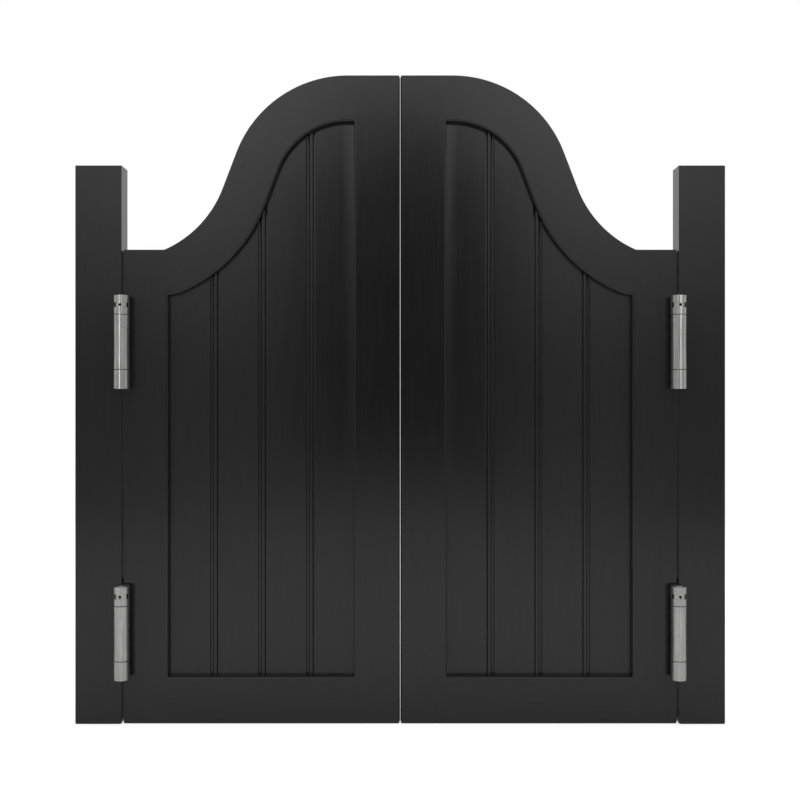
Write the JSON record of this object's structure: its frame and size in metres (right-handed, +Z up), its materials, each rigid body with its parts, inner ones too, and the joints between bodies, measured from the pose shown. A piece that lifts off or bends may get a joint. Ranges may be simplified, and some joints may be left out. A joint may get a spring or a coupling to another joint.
{
  "type": "cafe swinging doors",
  "caption": "Pair of half-height saloon doors with curved tops and tongued board panels, hung between posts on double-action spring hinges.",
  "frame": {"origin": "middle of the doorway, half way through the posts, level with the foot of the posts and leaves", "axes": "+X to the right across the doorway, +Y to the back, +Z up; the front faces -Y"},
  "size_m": [1.068, 0.091, 1.067],
  "materials": {
    "satin_black_wood": "satin paint over wood grain",
    "dowel_beech": "plain",
    "brushed_steel": "fine vertical brushing",
    "turned_steel": "turned, satin",
    "spring_steel": "oiled, dark",
    "screw_steel": "zinc plated"
  },
  "bodies": {
    "posts": {"left_post": "satin_black_wood", "right_post": "satin_black_wood", "left_lower_jamb_leaf": "brushed_steel", "left_upper_jamb_leaf": "brushed_steel", "right_lower_jamb_leaf": "brushed_steel", "right_upper_jamb_leaf": "brushed_steel", "front_spindles": "turned_steel", "jamb_hinge_screws": "screw_steel"},
    "left_web": {"left_lower_centre_web": "brushed_steel", "left_upper_centre_web": "brushed_steel", "left_front_springs": "spring_steel", "left_rear_springs": "spring_steel", "left_spring_anchors": "turned_steel"},
    "left_door": {"left_hinge_stile": "satin_black_wood", "left_meeting_stile": "satin_black_wood", "left_bottom_rail": "satin_black_wood", "left_crown_rail": "satin_black_wood", "left_board_1": "satin_black_wood", "left_board_2": "satin_black_wood", "left_board_3": "satin_black_wood", "left_board_4": "satin_black_wood", "left_frame_dowels": "dowel_beech", "left_lower_door_leaf": "brushed_steel", "left_upper_door_leaf": "brushed_steel", "left_rear_spindles": "turned_steel", "left_door_hinge_screws": "screw_steel"},
    "left_lower_front_tension": {"left_lower_front_collar": "turned_steel"},
    "left_lower_rear_tension": {"left_lower_rear_collar": "turned_steel"},
    "left_upper_front_tension": {"left_upper_front_collar": "turned_steel"},
    "left_upper_rear_tension": {"left_upper_rear_collar": "turned_steel"},
    "right_web": {"right_lower_centre_web": "brushed_steel", "right_upper_centre_web": "brushed_steel", "right_front_springs": "spring_steel", "right_rear_springs": "spring_steel", "right_spring_anchors": "turned_steel"},
    "right_door": {"right_hinge_stile": "satin_black_wood", "right_meeting_stile": "satin_black_wood", "right_bottom_rail": "satin_black_wood", "right_crown_rail": "satin_black_wood", "right_board_1": "satin_black_wood", "right_board_2": "satin_black_wood", "right_board_3": "satin_black_wood", "right_board_4": "satin_black_wood", "right_frame_dowels": "dowel_beech", "right_lower_door_leaf": "brushed_steel", "right_upper_door_leaf": "brushed_steel", "right_rear_spindles": "turned_steel", "right_door_hinge_screws": "screw_steel"},
    "right_lower_front_tension": {"right_lower_front_collar": "turned_steel"},
    "right_lower_rear_tension": {"right_lower_rear_collar": "turned_steel"},
    "right_upper_front_tension": {"right_upper_front_collar": "turned_steel"},
    "right_upper_rear_tension": {"right_upper_rear_collar": "turned_steel"}
  },
  "joints": [
    {"name": "left_front_pivot", "type": "hinge", "parent": "posts", "child": "left_web", "pos_m": [-0.454, -0.0325, 0.39], "axis": [0, 0, -1], "range_deg": [0, 110], "stiffness_Nm_per_rad": 3, "springref_deg": -34.38, "deforming": ["left_front_springs"]},
    {"name": "left_rear_pivot", "type": "hinge", "parent": "left_web", "child": "left_door", "pos_m": [-0.454, 0.0325, 0.39], "axis": [0, 0, -1], "range_deg": [-110, 0], "stiffness_Nm_per_rad": 3, "springref_deg": 34.38, "deforming": ["left_rear_springs"]},
    {"name": "right_front_pivot", "type": "hinge", "parent": "posts", "child": "right_web", "pos_m": [0.454, -0.0325, 0.39], "axis": [0, 0, 1], "range_deg": [0, 110], "stiffness_Nm_per_rad": 3, "springref_deg": -34.38, "deforming": ["right_front_springs"]},
    {"name": "right_rear_pivot", "type": "hinge", "parent": "right_web", "child": "right_door", "pos_m": [0.454, 0.0325, 0.39], "axis": [0, 0, 1], "range_deg": [-110, 0], "stiffness_Nm_per_rad": 3, "springref_deg": 34.38, "deforming": ["right_rear_springs"]},
    {"name": "left_lower_front_tension_set", "type": "hinge", "parent": "posts", "child": "left_lower_front_tension", "pos_m": [-0.454, -0.0325, 0.2134], "axis": [0, 0, -1], "range_deg": [-23, 20]},
    {"name": "left_lower_rear_tension_set", "type": "hinge", "parent": "left_door", "child": "left_lower_rear_tension", "pos_m": [-0.454, 0.0325, 0.2134], "axis": [0, 0, 1], "range_deg": [-23, 20]},
    {"name": "left_upper_front_tension_set", "type": "hinge", "parent": "posts", "child": "left_upper_front_tension", "pos_m": [-0.454, -0.0325, 0.687], "axis": [0, 0, -1], "range_deg": [-23, 20]},
    {"name": "left_upper_rear_tension_set", "type": "hinge", "parent": "left_door", "child": "left_upper_rear_tension", "pos_m": [-0.454, 0.0325, 0.687], "axis": [0, 0, 1], "range_deg": [-23, 20]},
    {"name": "right_lower_front_tension_set", "type": "hinge", "parent": "posts", "child": "right_lower_front_tension", "pos_m": [0.454, -0.0325, 0.2134], "axis": [0, 0, 1], "range_deg": [-23, 20]},
    {"name": "right_lower_rear_tension_set", "type": "hinge", "parent": "right_door", "child": "right_lower_rear_tension", "pos_m": [0.454, 0.0325, 0.2134], "axis": [0, 0, -1], "range_deg": [-23, 20]},
    {"name": "right_upper_front_tension_set", "type": "hinge", "parent": "posts", "child": "right_upper_front_tension", "pos_m": [0.454, -0.0325, 0.687], "axis": [0, 0, 1], "range_deg": [-23, 20]},
    {"name": "right_upper_rear_tension_set", "type": "hinge", "parent": "right_door", "child": "right_upper_rear_tension", "pos_m": [0.454, 0.0325, 0.687], "axis": [0, 0, -1], "range_deg": [-23, 20]}
  ]
}
